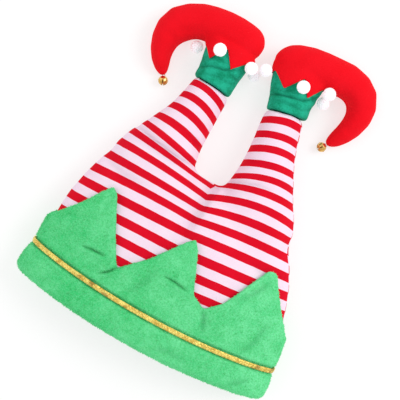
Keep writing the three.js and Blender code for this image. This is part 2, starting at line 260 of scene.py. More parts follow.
class Look:
    """A material whose shader is a Principled BSDF, with its fixed sockets set."""

    def __init__(self, name, **fixed):
        self.material = bpy.data.materials.new(name)
        self.material.use_nodes = True
        self.tree = self.material.node_tree
        self.shader = self.tree.nodes["Principled BSDF"]
        for key, value in fixed.items():
            self.shader.inputs[key.replace("_", " ")].default_value = value

    def node(self, kind, settings, inputs):
        """Any node: its settings first, then values or links for its inputs."""
        made = self.tree.nodes.new(kind)
        for key, value in settings.items():
            setattr(made, key, value)
        for key, value in inputs.items():
            if isinstance(value, Value):
                self.tree.links.new(value.socket, made.inputs[key])
            else:
                made.inputs[key].default_value = value
        return [Value(self, socket) for socket in made.outputs]

    def place(self):
        """Where a point is on the hat, in metres."""
        return self.node("ShaderNodeTexCoord", {}, {})[3]

    def attribute(self, name):
        """A value stored on the piece: its colour, its vector and its number."""
        return self.node("ShaderNodeAttribute", {"attribute_name": name}, {})

    def split(self, vector):
        return self.node("ShaderNodeSeparateXYZ", {}, {0: vector})

    def noise(self, vector, scale, detail=2.0, rough=0.5):
        inputs = {"Vector": vector, "Scale": scale, "Detail": detail, "Roughness": rough}
        return self.node("ShaderNodeTexNoise", {}, inputs)[0]

    def cells(self, vector, scale):
        inputs = {"Vector": vector, "Scale": scale}
        return self.node("ShaderNodeTexVoronoi", {}, inputs)[0]

    def mix(self, share, first, second):
        """Colours mixed by a share."""
        settings = {"data_type": "RGBA"}
        inputs = {0: share, 6: first, 7: second}
        return self.node("ShaderNodeMix", settings, inputs)[2]

    def bump(self, height, distance, strength=1.0):
        inputs = {"Strength": strength, "Distance": distance, "Height": height}
        return self.node("ShaderNodeBump", {}, inputs)[0]

    def wire(self, **links):
        """Feed the shader's varying sockets."""
        for key, value in links.items():
            self.tree.links.new(value.socket, self.shader.inputs[key.replace("_", " ")])
        return self

    def put_on(self, obj):
        obj.data.materials.clear()
        obj.data.materials.append(self.material)
        return obj


def srgb(red, green, blue):
    """A colour given as on a screen, from 0 to 255, for a shader."""
    def lin(v):
        v /= 255
        return v / 12.92 if v <= 0.04045 else ((v + 0.055) / 1.055) ** 2.4
    return (lin(red), lin(green), lin(blue), 1)


floor_look = Look(
    "pale_paper",
    Base_Color=(0.36, 0.36, 0.36, 1),
    Roughness=0.9,
    Emission_Color=(1, 1, 1, 1),
    Emission_Strength=0.64,
)
floor_look.put_on(floor)

# %% [markdown]
# ## The knitted crown
#
# The crown is a bag of fine striped jersey that parts into two stuffed legs. The solid
# already has its outline, so a copy of it is given an even net of small squares and
# smoothed. The inside of the head space is taken off first and made again at the end,
# at the thickness of the knit, because a net that fine would tear on two close walls.

# %% Where a point is on the hat
BRIM_Y = -32.0
SAG = 0.0006
SAG_AT = -15.0
SAG_ENDS = 120.0
KNIT = 2.4 * MM


def laid(points):
    """Points in the maker's millimetres, measured from the middle of the braid."""
    return (np.asarray(points) - np.array(LIES_AT)) / MM


def above_edge(points):
    """Distance above the band's lower edge, which sags in the middle."""
    x, y = laid(points)[:, :2].T
    along = y - BRIM_Y
    for _ in range(12):
        fade = np.clip(1 - along / SAG_ENDS, 0, 1)
        along = y - BRIM_Y - SAG * (x - SAG_AT) ** 2 * fade * (2 - fade)
    return along


def tree_of(obj):
    """The mesh as a tree that finds nearest points and hits of rays."""
    return BVHTree.FromPolygons(
        [v.co for v in obj.data.vertices], [tuple(p.vertices) for p in obj.data.polygons]
    )


def store(obj, name, values):
    """Keep one number for each vertex under a name that a material can read."""
    kept = obj.data.attributes.new(name, "FLOAT", "POINT")
    kept.data.foreach_set("value", np.asarray(values, dtype=np.float32))


def keep_on_floor(points, height=0.0):
    points[:, 2] = np.maximum(points[:, 2], height)
    return points


# %% Take the inside off
HOLLOW_END = 164  # millimetres above the band's lower edge
crown = cloth_copy("crown", "knitted_crown")
crown_tree = tree_of(crown)


def is_inside(obj, tree, height):
    """Faces below a height whose outward ray meets the opposite wall."""
    centres = np.array([p.center for p in obj.data.polygons])
    low = above_edge(centres) < height
    found = np.zeros(len(low), bool)
    for i in np.flatnonzero(low):
        face = obj.data.polygons[i]
        hit = tree.ray_cast(face.center + face.normal * 1e-5, face.normal, 0.3)[0]
        found[i] = hit is not None or face.normal.y < -0.9
    return found


inside = is_inside(crown, crown_tree, HOLLOW_END)
only(crown)
bpy.ops.object.mode_set(mode="EDIT")
bpy.ops.mesh.select_mode(type="FACE")
bpy.ops.mesh.select_all(action="DESELECT")
bpy.ops.object.mode_set(mode="OBJECT")
crown.data.polygons.foreach_set("select", inside)
bpy.ops.object.mode_set(mode="EDIT")
bpy.ops.mesh.delete(type="FACE")
bpy.ops.mesh.select_mode(type="EDGE")
bpy.ops.mesh.select_all(action="DESELECT")
bpy.ops.mesh.select_non_manifold()
bpy.ops.mesh.edge_face_add()
bpy.ops.object.mode_set(mode="OBJECT")

# %% [markdown]
# A stuffed bag is round because its filling pushes on cloth that can't stretch. Blender's
# Cloth does the same with air pressure, gravity switched off. It is run on a coarse net,
# and no point may travel further than a small cap, so the outline stays the solid's.

# %% Fill a closed bag with the Cloth simulation
def filled(obj, pressure, cap, size=4.0 * MM, frames=20):
    """Net the bag coarsely, let the filling push it out, then net it finer."""
    even_skin(obj, size, passes=6)
    start = points_of(obj)
    only(obj)
    cloth = obj.modifiers.new("filling", "CLOTH")
    cloth.settings.use_pressure = True
    cloth.settings.uniform_pressure_force = pressure
    cloth.settings.effector_weights.gravity = 0
    cloth.settings.quality = 5
    cloth.settings.mass = 0.3
    cloth.settings.bending_stiffness = 0.5
    cloth.settings.shrink_min = -0.02
    cloth.point_cache.frame_end = frames
    for frame_number in range(1, frames + 1):
        bpy.context.scene.frame_set(frame_number)
    bpy.ops.object.modifier_apply(modifier=cloth.name)
    bpy.context.scene.frame_set(1)
    moved = points_of(obj) - start
    reach = np.linalg.norm(moved, axis=1, keepdims=True)
    moved *= np.minimum(1, cap / np.maximum(reach, 1e-9))
    put_points(obj, start + moved)
    print(obj.name, "pushed out by up to", round(reach.max() / MM, 1), "mm")
    only(obj)
    finish_with(obj, "SUBSURF", levels=1, render_levels=1)
    return obj


def set_back(obj, tree):
    """Give back what smoothing took: move out by the mean distance to the solid."""
    points, normals = points_of(obj), normals_of(obj)
    lost = []
    for point, normal in zip(points[::7], normals[::7]):
        near = tree.find_nearest(Vector(point))[0]
        lost.append(np.dot(np.array(near) - point, normal))
    mean = float(np.mean(lost))
    put_points(obj, keep_on_floor(points + normals * mean))
    print(obj.name, "set back by", round(mean / MM, 2), "mm")
    return obj


# Painted shade for the middles of the creases, one array for each piece.
FOLD_SHADES = {}


def crease(obj, path, depth, width, lowest=18.0, ridge=0.35):
    """Press a soft crease into the upper side along a line of (x, y) millimetres and keep how much
    painted shade its middle gets.
    """
    points, normals = points_of(obj), normals_of(obj)
    at = laid(points)
    path = np.array(path, float)
    nearest = np.full(len(at), 1e9)
    share = np.zeros(len(at))
    steps = np.hypot(*np.diff(path, axis=0).T)
    run = np.concatenate([[0], np.cumsum(steps)]) / steps.sum()
    for k in range(len(path) - 1):
        way = path[k + 1] - path[k]
        t = np.clip(((at[:, :2] - path[k]) @ way) / (way @ way), 0, 1)
        away = np.hypot(*(at[:, :2] - path[k] - t[:, None] * way).T)
        closer = away < nearest
        nearest[closer] = away[closer]
        share[closer] = (run[k] + t * (run[k + 1] - run[k]))[closer]
    ends = np.sqrt(np.clip(np.sin(np.pi * np.clip(share, 0.02, 0.98)), 0, 1))
    upper = np.clip((at[:, 2] - lowest) / 6, 0, 1)
    press = np.exp(-((nearest / width) ** 2)) - ridge * np.exp(-((nearest / width - 2.2) ** 2))
    moved = points - normals * (depth * MM * press * ends * upper)[:, None]
    put_points(obj, keep_on_floor(moved))
    # How dark the middle of the crease is painted: painted shade.
    core = np.exp(-((nearest / (width * 0.55)) ** 2)) * ends * upper * min(depth / 2.4, 1)
    FOLD_SHADES[obj.name] = np.maximum(FOLD_SHADES.get(obj.name, 0), core)


# %% Fill the crown, then press its folds in
filled(crown, pressure=4.0, cap=1.6 * MM)
finish_with(crown, "SMOOTH", factor=0.5, iterations=4)
set_back(crown, crown_tree)
crease(crown, [(-6, 158), (-6.5, 145), (-7.6, 128), (-8.4, 106), (-8, 88)], 2.8, 3.2)
crease(crown, [(-6, 160), (-7.6, 128), (-8, 96)], 1.8, 14.0, ridge=0.1)
# The two creases at the crotch get lighter painted shade.
FOLD_SHADES[crown.name] = FOLD_SHADES[crown.name] * 0.6
crease(crown, [(-103, 161), (-80, 156.6), (-56, 153.6), (-36, 154)], 2.6, 3.0, lowest=8)
crease(crown, [(-98, 152), (-70, 148), (-48, 147)], 0.9, 4.0, lowest=8)
crease(crown, [(0, 156), (12, 162), (30, 168.6), (44, 170)], 1.5, 3.2)
crease(crown, [(-30, 168), (-45, 176), (-58, 180)], 0.9, 3.0)
crease(crown, [(8, 184), (22, 190), (36, 190)], 0.7, 3.0)
crease(crown, [(58, 100), (80, 96), (104, 104)], 0.7, 6.0)
crease(crown, [(-112, 118), (-92, 112), (-66, 114)], 0.8, 6.0)
store(crown, "fold_shade", FOLD_SHADES[crown.name])
print("crown net:", len(crown.data.polygons), "faces")

# %% [markdown]
# The stripes run round each leg like rings and meet in shallow V shapes at the centre
# seam. Their places are written down once, stripe by stripe, at the outer side, the
# middle and the inner side of each half. Every point of the cloth then gets a number:
# a whole number is the middle of a red stripe. The back is a second panel, whose
# stripes meet the front's a little out of step at the side seam.

# %% Stripe table, in the maker's millimetres: outer side, middle, inner side
# Each row is a line down the bag, in millimetres, and the heights of the middles of its
# red stripes. Most are read on the photograph, with a ruler laid along the line.
# A few on the inner sides and the centre seam are judged from their neighbours or from an
# earlier reading, and those under the band are guessed.
LEFT_STRIPES = (
    (
        ((-82, 236), (-98, 168), (-138, 15)),
        (226, 210, 196, 180, 168, 154, 139, 122, 104, 87, 69, 51, 33, 16),
    ),
    (
        ((-60, 236), (-60, 12)),
        (226, 211, 195, 178, 161, 150, 138, 122, 108, 90, 72, 54, 36, 18),
    ),
    (
        ((-39, 226), (-36, 156), (-7, 145), (-7, 12)),
        (219, 203, 187, 172, 156, 145, 133, 121, 108, 93, 74, 56, 38, 19),
    ),
)
RIGHT_STRIPES = (
    (
        ((45, 246), (66, 180), (125, 30)),
        (239, 223, 209, 195, 181, 167, 151, 136, 120, 103, 86, 68, 51, 34),
    ),
    (
        ((22, 244), (32, 165), (58, 20)),
        (237, 221, 207, 190, 177, 163, 149, 132, 116, 99, 80, 62, 46, 28),
    ),
    (
        ((2, 234), (5, 158), (-7, 133), (-7, 12)),
        (229, 213, 196, 180, 164, 154, 133, 121, 108, 93, 74, 56, 38, 19),
    ),
)
SEAM_X = -7.0  # the centre seam
PITCH = 18.0  # between stripes under the band


def across_at(path, height):
    """How far across a line down the bag is at a height."""
    across, heights = np.array(path[::-1], float).T
    return np.interp(height, heights, across)


def stripe_number(points):
    """Which stripe a point lies in, counted from the ankles."""
    x, y = laid(points)[:, :2].T
    result = np.empty(len(x))
    for readings, side in ((LEFT_STRIPES, x < SEAM_X), (RIGHT_STRIPES, x >= SEAM_X)):
        paths, columns = zip(*readings)
        lines = []
        for heights in zip(*columns):
            across = [across_at(path, height) for path, height in zip(paths, heights)]
            bow = np.polyfit(across, heights, 2)
            held = np.clip(x[side], min(across) - 6, max(across) + 6)
            lines.append(np.polyval(bow, held))
        lines = np.array(lines)
        first = 2 * lines[0] - lines[1]
        below = [lines[-1] - k * PITCH for k in range(1, 8)]
        lines = np.vstack([first, lines, *below])
        number = np.zeros(side.sum())
        for k in range(len(lines) - 1):
            share = (lines[k] - y[side]) / (lines[k] - lines[k + 1])
            number = np.where(share > 0, k + np.clip(share, 0, 1), number)
        result[side] = number
    return result


# %% Rebuild the inside, one knit's thickness in
HEM_CUT, HEM_STEPS, HEM_STEP = 21, 4, 2.5 * MM
RIM_BELOW, LID_AT = 40, 150


def line_crown(obj, top):
    """Copy the bag's wall inwards, close it at the top and join it at the rim."""
    mesh = bmesh.new()
    mesh.from_mesh(obj.data)
    along = above_edge(np.array([v.co for v in mesh.verts]))
    below = [v for v, height in zip(mesh.verts, along) if height < HEM_CUT]
    bmesh.ops.delete(mesh, geom=below, context="VERTS")
    for _ in range(HEM_STEPS):
        hem = [e for e in mesh.edges if e.is_boundary]
        made = bmesh.ops.extrude_edge_only(mesh, edges=hem)["geom"]
        lower = [g for g in made if isinstance(g, bmesh.types.BMVert)]
        bmesh.ops.translate(mesh, verts=lower, vec=(0, -HEM_STEP, 0))
    bmesh.ops.recalc_face_normals(mesh, faces=mesh.faces)
    mesh.normal_update()
    inside = mesh.verts.layers.float.new("inside")
    centres = above_edge(np.array([f.calc_center_median() for f in mesh.faces]))
    wall = [f for f, height in zip(mesh.faces, centres) if height < top]
    twin = bmesh.ops.duplicate(mesh, geom=wall)
    faces = [g for g in twin["geom"] if isinstance(g, bmesh.types.BMFace)]
    verts = [g for g in twin["geom"] if isinstance(g, bmesh.types.BMVert)]
    places = [v.co - v.normal * KNIT for v in verts]
    for v, place in zip(verts, places):
        v.co = place
        v[inside] = 1.0
    bmesh.ops.reverse_faces(mesh, faces=faces)
    open_edges = [e for e in mesh.edges if e.is_boundary]
    middles = np.array([(e.verts[0].co + e.verts[1].co) / 2 for e in open_edges])
    heights = above_edge(middles)
    rim = [e for e, height in zip(open_edges, heights) if height < RIM_BELOW]
    lid = [e for e, height in zip(open_edges, heights) if height >= RIM_BELOW]
    bmesh.ops.bridge_loops(mesh, edges=rim)
    bmesh.ops.holes_fill(mesh, edges=lid, sides=0)
    bmesh.ops.recalc_face_normals(mesh, faces=mesh.faces)
    mesh.to_mesh(obj.data)
    mesh.free()
    return len(rim), len(lid)


print("rim and lid edges:", line_crown(crown, LID_AT))
only(crown)
bpy.ops.object.shade_smooth()
place = points_of(crown)
at = laid(place)
RIGHT_SEAM, LEFT_SEAM = 27.5, 13.0  # heights at which the back panel's stripes start
outer_half = at[:, 0] > 24 + (240 - at[:, 1]) * 0.16
narrows = np.clip(1.12 - at[:, 1] / 900, 0.7, 1.1)
seam_height = np.where(outer_half, RIGHT_SEAM * narrows, LEFT_SEAM)
store(crown, "stripe", stripe_number(place))
store(crown, "wale", at[:, 0])
store(crown, "back", np.clip(seam_height - at[:, 2], -9, 9))
print("crown:", triangles(crown), "triangles")

# %% [markdown]
# Jersey shows as rows of small V-shaped stitches. Their height is worked out from two
# running numbers, the stripe number along the leg and the distance across it. The
# stripes change colour at a row of stitches, so their edges have the same small teeth.

# %% Knit: two yarns in turn, with the stitches showing close up
ROWS_IN_A_STRIPE = 18.0
WALE = 1.15

knit_look = Look("striped_jersey", Roughness=0.9, Specular_IOR_Level=0.12)
spot = knit_look.place()
back = knit_look.attribute("back")[2].step(-0.4, 0.4)
stripe = knit_look.attribute("stripe")[2] + back * 0.42
leg = (knit_look.attribute("wale")[2] / WALE).fraction()
arm = (leg - 0.5).size()
loop = (stripe * ROWS_IN_A_STRIPE + arm * 1.2).fraction() - 0.5
yarn = knit_look.noise(spot, 900.0, 2.0) - 0.5
drift = knit_look.noise(spot, 110.0, 2.0) - 0.5
toothed = stripe + arm * 0.035 + drift * 0.035
red_share = (toothed.fraction() - 0.5).size().step(0.245, 0.262)
shade = knit_look.noise(spot, 45.0, 3.0)
red = knit_look.mix(shade, srgb(214, 2, 28), srgb(236, 12, 42))
white = knit_look.mix(shade, srgb(248, 218, 240), srgb(255, 236, 248))
striped = knit_look.mix(red_share, white, red)
lining = knit_look.attribute("inside")[2].step(0.3, 0.7)
knit_colour = knit_look.mix(lining, striped, srgb(246, 228, 238))
# The hollows between the stitches are sunk by the bump and also painted darker, painted shade; the
# middles of the creases are painted darker too, painted shade.
hollow = (loop.size() * 2.0) ** 2.0 * 0.7 + (arm * 2.0) ** 3.0 * 0.5
knit_look.wire(
    Base_Color=knit_look.mix(
        hollow * 0.12 + knit_look.attribute("fold_shade")[2] * 0.35, knit_colour, (0.12, 0.0, 0.02, 1)
    ),
    Normal=knit_look.bump(yarn * 0.6 - hollow, 0.00022, 0.7),
)
knit_look.put_on(crown)
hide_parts("crown")
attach(crown, "root")

# %% [markdown]
# ## The plush band
#
# The band is a turned-up strip of short-piled plush, cut into points. A copy of its
# solid is netted and smoothed, and the small folds at the foot of the points are pressed
# in. The pile can't be left to a texture alone, because it frays the outline, so
# thousands of tiny three-sided tufts are also planted on every outer face.

# %% Band
band = cloth_copy("brim_band", "plush_band")
band_tree = tree_of(band)
even_skin(band, 1.6 * MM, passes=10)
crease(band, [(-90, 31.5), (-80, 33), (-66, 34.2)], 3.2, 1.5)
crease(band, [(-6, 46), (6, 46), (20, 44.5)], 3.2, 1.5)
crease(band, [(-63, 16), (-56, 22), (-49, 31)], 3.6, 1.4)
crease(band, [(43, 38), (48, 29), (54, 16)], 1.4, 4.5)
crease(band, [(70, 62), (82, 78), (88, 92)], 0.9, 5.0)
crease(band, [(96, 14), (104, 34), (106, 56)], 0.8, 5.0)
crease(band, [(-30, 14), (-20, 30), (-14, 48)], 0.6, 6.0)
crease(band, [(18, -22), (34, -16), (52, -18)], 0.7, 5.0)
crease(band, [(100, -18), (112, -8), (118, -2)], 0.9, 4.0)
store(band, "fold_shade", FOLD_SHADES[band.name])


# %% Pile: where tufts can stand
def spots_on(obj, count, seed):
    """Points spread evenly by area over a mesh, with their normals."""
    mesh = obj.data
    mesh.calc_loop_triangles()
    corners = np.empty(len(mesh.loop_triangles) * 3, np.int32)
    mesh.loop_triangles.foreach_get("vertices", corners)
    corners = corners.reshape(-1, 3)
    points, normals = points_of(obj), normals_of(obj)
    a, b, c = (points[corners[:, k]] for k in range(3))
    area = np.linalg.norm(np.cross(b - a, c - a), axis=1)
    rng = np.random.default_rng(seed)
    picked = rng.choice(len(area), size=count, p=area / area.sum())
    u, v = rng.random((2, count))
    over = u + v > 1
    u[over], v[over] = 1 - u[over], 1 - v[over]
    w = 1 - u - v
    shares = np.stack([w, u, v], axis=1)[:, :, None]
    place = (points[corners[picked]] * shares).sum(axis=1)
    normal = (normals[corners[picked]] * shares).sum(axis=1)
    normal /= np.linalg.norm(normal, axis=1, keepdims=True)
    return place, normal


def in_the_open(places, normals, trees, reach):
    """Which of the spots see nothing straight ahead within a reach."""
    free = np.ones(len(places), bool)
    for i, (place, normal) in enumerate(zip(places, normals)):
        ahead = Vector(normal)
        start = Vector(place) + ahead * 0.0006
        free[i] = all(tree.ray_cast(start, ahead, reach)[0] is None for tree in trees)
    return free


def keeps_off(points):
    """A test of which places keep a distance from all of the points."""
    tree = KDTree(len(points))
    for i, point in enumerate(points):
        tree.insert(point, i)
    tree.balance()
    return lambda places, away: np.array([tree.find(p)[2] > away for p in places])


BRAID_ALONG, BRAID_HALF = 34.5, 2.7
TUFTS_TRIED = 64000
SIGHT = 0.055  # metres that have to be clear above a tuft
points, normals = points_of(band), normals_of(band)
off_braid = np.abs(above_edge(points) - BRAID_ALONG) / (BRAID_HALF + 0.6)
under_braid = np.clip(1.6 - off_braid, 0, 0.6) / 0.6
open_air = in_the_open(points, normals, (crown_tree, band_tree), SIGHT)
pressed = 1.9 * MM * under_braid * open_air
put_points(band, keep_on_floor(points - normals * pressed[:, None]))

places, normals = spots_on(band, TUFTS_TRIED, seed=3)
clear = np.abs(above_edge(places) - BRAID_ALONG) > BRAID_HALF + 0.4
clear &= places[:, 2] > 0.0012
folded = FOLD_SHADES[band.name] > 0.45
fold_tree = keeps_off(points_of(band)[folded])
clear &= fold_tree(places, 0.0011)
clear &= in_the_open(places, normals, (crown_tree, tree_of(band)), SIGHT)
places, normals = places[clear], normals[clear]
print("tufts:", len(places))

# %% Model one tuft and plant its copies
bpy.ops.object.select_all(action="DESELECT")
bpy.ops.mesh.primitive_cone_add(vertices=3, radius1=0.5, radius2=0, depth=1, location=(0, 0, 0.5))
tuft = bpy.context.object
TUFT_POINTS = points_of(tuft) + [0, 0, 0.5]
TUFT_FACES = [tuple(p.vertices) for p in tuft.data.polygons]
bpy.data.objects.remove(tuft)


def planted(name, places, normals, long, wide, seed, lean=(0, 0, 0), untidy=0.35):
    """One mesh of tufts: each is turned at random and leans a little."""
    rng = np.random.default_rng(seed)
    count = len(places)
    up = normals + rng.normal(0, untidy, (count, 3)) + np.array(lean)
    up /= np.linalg.norm(up, axis=1, keepdims=True)
    side = np.cross(up, rng.normal(0, 1, (count, 3)))
    side /= np.linalg.norm(side, axis=1, keepdims=True)
    other = np.cross(up, side)
    length = long * rng.uniform(0.75, 1.1, count)
    width = wide * rng.uniform(0.8, 1.2, count)
    body = (
        TUFT_POINTS[None, :, 0:1] * (side * width[:, None])[:, None]
        + TUFT_POINTS[None, :, 1:2] * (other * width[:, None])[:, None]
        + TUFT_POINTS[None, :, 2:3] * (up * length[:, None])[:, None]
    )
    points = (places[:, None] - up[:, None] * (0.12 * length)[:, None, None] + body).reshape(-1, 3)
    each = len(TUFT_POINTS)
    faces = [tuple(v + i * each for v in face) for i in range(count) for face in TUFT_FACES]
    mesh = bpy.data.meshes.new(name)
    mesh.from_pydata(points.tolist(), [], faces)
    obj = bpy.data.objects.new(name, mesh)
    bpy.context.scene.collection.objects.link(obj)
    store(obj, "tip", np.tile(TUFT_POINTS[:, 2], count))
    store(obj, "tuft", np.repeat(rng.random(count), each))
    return obj


print("tuft:", len(TUFT_POINTS), "points,", len(TUFT_FACES), "faces")
pile = planted("plush_pile", places, normals, 1.5 * MM, 0.7 * MM, 5, lean=(0.1, -0.5, 0))
put_points(pile, keep_on_floor(points_of(pile), 0.0002))
print("pile:", triangles(pile), "triangles")


# %% Plush: pale where the pile stands up and deep where it lies down, as painted sheen and shade, and painted lighter towards the key lamp
def plush(name, tufted):
    look = Look(name, Roughness=0.92, Specular_IOR_Level=0.15)
    spot = look.place()
    brushed_pile_sheen = look.noise(spot, 20.0, 3.0, 0.55) * 0.6 + look.noise(spot, 80.0, 3.0) * 0.4
    speck = look.noise(spot, 700.0, 3.0, 0.7)
    # The side at +x, towards the key lamp, is painted lighter: painted light.
    painted_lit_side = look.split(spot)[0].step(-0.08, 0.11)
    share = brushed_pile_sheen.step(0.32, 0.70) * 0.4 + speck.step(0.3, 0.7) * 0.5 + painted_lit_side * 0.2 - 0.1
    colour = look.mix(share, srgb(56, 199, 113), srgb(128, 237, 171))
    if tufted:
        # The tufts are painted paler towards their tips, more on some tufts than others: painted
        # light on the ends of the pile.
        tip = look.attribute("tip")[2]
        one = look.attribute("tuft")[2]
        colour = look.mix(tip * (one * 0.6 + 0.1), colour, srgb(176, 246, 204))
        look.wire(Base_Color=colour)
    else:
        # The middles of the creases are painted dark green: painted shade.
        fold_shade = look.attribute("fold_shade")[2]
        colour = look.mix(fold_shade * 0.75, colour, srgb(16, 110, 52))
        look.wire(Base_Color=colour, Normal=look.bump(speck, 0.0008, 0.9))
    return look


plush("green_plush", False).put_on(band)
plush("green_pile", True).put_on(pile)
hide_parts("brim_band")
for piece in (band, pile):
    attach(piece, "root")
print("band:", triangles(band), "triangles")

# %% [markdown]
# ## The gold braid
#
# A narrow braid of metallic yarn is laid in the pile all round. The solid gives the line of
# its outer side at the braid's middle. A long grid, one braid wide, is wound along it and
# raised into crossing ridges like plaited yarn, then thickened, because the light has to
# break on real ridges to glitter.

# %% Braid
def ring_of(points, count):
    """A smooth closed line through points given in order round the band."""
    points = np.vstack([points, points[:1]])
    steps = np.linalg.norm(np.diff(points, axis=0), axis=1)
    run = np.concatenate([[0], np.cumsum(steps)])
    wanted = np.linspace(0, run[-1], count, endpoint=False)
    place = np.stack([np.interp(wanted, run, points[:, k]) for k in range(3)], axis=1)
    for _ in range(10):
        place = (np.roll(place, 1, 0) + 2 * place + np.roll(place, -1, 0)) / 4
    return place, run[-1]


def outer_edge(tree, along, count=360):
    """The outer edge of the solid's ring at a height above the band's lower edge."""
    line = []
    lift = 0.0
    for k in range(count):
        turn = 2 * math.pi * k / count
        way = Vector((math.cos(turn), 0, math.sin(turn) / 4.5)).normalized()
        found = None
        for nudge in (0, 0.5, -0.5, 1, -1, 2, -2, 3, -3, 5, -5, 8, -8, 12, -12):
            y = BRIM_Y + along + lift + nudge
            start = LIES_AT + Vector((SEAM_X, y, 26)) * MM
            hit = tree.ray_cast(start + way * 0.3, -way, 0.3)[0]
            if hit is not None:
                miss = along - float(above_edge(np.array([hit]))[0])
                if found is None or abs(miss) < abs(found[1]):
                    found = (hit, miss, lift + nudge)
        if found is None:
            raise RuntimeError("the braid's solid was not found")
        lift = found[2] + found[1]
        line.append(found[0] + Vector((0, found[1] * MM, 0)))
    return np.array(line)


BRAID_STEPS, BRAID_ROWS = 1500, 9
STRAND_WIDE = 4.9
PLAIT = 3.6  # length of one crossing of the yarns
guide = cloth_copy("gold_braid", "braid_guide")
guide_tree = tree_of(guide)
bpy.data.objects.remove(guide)
centre_line, length = ring_of(outer_edge(guide_tree, BRAID_ALONG), BRAID_STEPS)
lower = centre_line - [0, STRAND_WIDE / 2 * MM, 0]
upper = centre_line + [0, STRAND_WIDE / 2 * MM, 0]
print("braid:", round(length, 3), "m round")

bpy.ops.object.select_all(action="DESELECT")
bpy.ops.mesh.primitive_grid_add(x_subdivisions=BRAID_STEPS, y_subdivisions=BRAID_ROWS - 1, size=1)
braid = bpy.context.object
braid.name = "metallic_braid"
flat = points_of(braid)
turn = np.rint((flat[:, 0] + 0.5) * BRAID_STEPS).astype(int) % BRAID_STEPS
row = flat[:, 1] + 0.5
run = (flat[:, 0] + 0.5) * length / MM
across = row * STRAND_WIDE
pitch = length / MM / round(length / MM / PLAIT)
first = np.abs(np.sin(np.pi * (run / pitch + across / STRAND_WIDE)))
second = np.abs(np.sin(np.pi * (run / pitch - across / STRAND_WIDE)))
ridge = np.maximum(first, second) ** 2 + 0.35 * np.cos(2 * np.pi * (row - 0.5))
ahead = np.roll(lower, -1, 0) - np.roll(lower, 1, 0)
out = np.cross(ahead, upper - lower)
out /= np.linalg.norm(out, axis=1, keepdims=True)
centre = (lower + upper).mean(axis=0) / 2
if np.mean(np.sum(out * (lower - centre), axis=1)) < 0:
    out = -out
spread = lower[turn] * (1 - row[:, None]) + upper[turn] * row[:, None]
put_points(braid, spread + out[turn] * ((ridge * 0.45 + 0.25) * MM)[:, None])
only(braid)
bpy.ops.object.mode_set(mode="EDIT")
bpy.ops.mesh.select_all(action="SELECT")
bpy.ops.mesh.remove_doubles(threshold=0.00001)
bpy.ops.mesh.normals_make_consistent(inside=False)
bpy.ops.object.mode_set(mode="OBJECT")
finish_with(braid, "SOLIDIFY", thickness=1.0 * MM, offset=-1)
only(braid)
bpy.ops.object.shade_smooth()
put_points(braid, keep_on_floor(points_of(braid), 0.0001))
print("braid:", triangles(braid), "triangles")

# %% Gold yarn
gold_look = Look("gold_yarn", Metallic=0.6, Specular_IOR_Level=0.6)
spot = gold_look.place()
glint = gold_look.cells(spot, 1100.0)
patch = gold_look.noise(spot, 170.0, 2.0)
# Dark brown patches at random are painted shade between the yarns.
painted_shade_patch = gold_look.noise(spot, 75.0, 3.0)
# Cells and patches of the yarn are painted pale gold: painted glints, beside the real ones from
# its varied roughness and bump.
painted_glint = (glint * 0.6 + patch * 0.7).step(0.35, 0.95)
gold = gold_look.mix(painted_glint, srgb(196, 152, 44), srgb(255, 236, 130))
gold_look.wire(
    Base_Color=gold_look.mix(painted_shade_patch.step(0.52, 0.64) * 0.62, gold, srgb(122, 78, 20)),
    Roughness=glint * 0.3 + 0.22,
    Normal=gold_look.bump(glint + patch, 0.0004, 0.8),
)
gold_look.put_on(braid)
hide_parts("gold_braid")
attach(braid, "root")

# %% [markdown]
# ## Velvet ankles and felt boots
#
# The stuffed ankles are short-piled velvet that bunches under the boots. The boots are
# felt, two halves sewn together round the outline, with a toothed cuff. Both follow
# their solids closely; the teeth stay crisp because only the foot is smoothed hard.

# %% Collars
velvet_look = Look("green_velvet", Roughness=0.85, Specular_IOR_Level=0.12)
spot = velvet_look.place()
# Broad paler patches at random are painted sheen on the velvet; the fine grain is the velvet's
# own.
patch = velvet_look.noise(spot, 75.0, 3.0) * 0.7 + velvet_look.noise(spot, 600.0, 2.0) * 0.3
velvet_look.wire(
    # The middles of the creases are painted dark green: painted shade.
    Base_Color=velvet_look.mix(
        velvet_look.attribute("fold_shade")[2] * 0.7,
        velvet_look.mix(patch.step(0.34, 0.66), srgb(8, 138, 100), srgb(34, 178, 142)),
        srgb(2, 62, 44),
    ),
    Normal=velvet_look.bump(velvet_look.noise(spot, 1500.0, 2.0), 0.0003, 0.6),
)
ANKLE_FOLDS = {
    "left": [
        ([(-80, 244), (-70, 249), (-56, 251.5), (-42, 259.7)], 2.0, 1.8),
        ([(-76, 238), (-62, 242), (-46, 243), (-38, 248)], 0.9, 2.4),
        ([(-50, 252), (-40, 250), (-34, 254)], 1.2, 2.0),
        ([(-78, 256), (-68, 259), (-56, 258)], 1.0, 1.8),
    ],
    "right": [
        ([(-10, 252), (-2, 256.5), (14, 260.8), (28, 264.2), (41, 275)], 2.2, 1.8),
        ([(2, 252), (16, 254), (32, 256), (42, 264)], 1.0, 2.4),
        ([(-6, 262), (6, 263), (14, 268)], 1.1, 1.8),
        ([(26, 272), (36, 272), (42, 278)], 1.1, 1.8),
    ],
}
for side, folds in ANKLE_FOLDS.items():
    node = "ankle_collar_" + side
    collar = cloth_copy(node, "velvet_collar_" + side)
    solid = tree_of(collar)
    even_skin(collar, 1.3 * MM, passes=16)
    set_back(collar, solid)
    for path, depth, width in folds:
        crease(collar, path, depth, width, lowest=14)
    store(collar, "fold_shade", FOLD_SHADES[collar.name])
    velvet_look.put_on(collar)
    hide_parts(node)
    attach(collar, "root")
    print(collar.name, triangles(collar), "triangles")

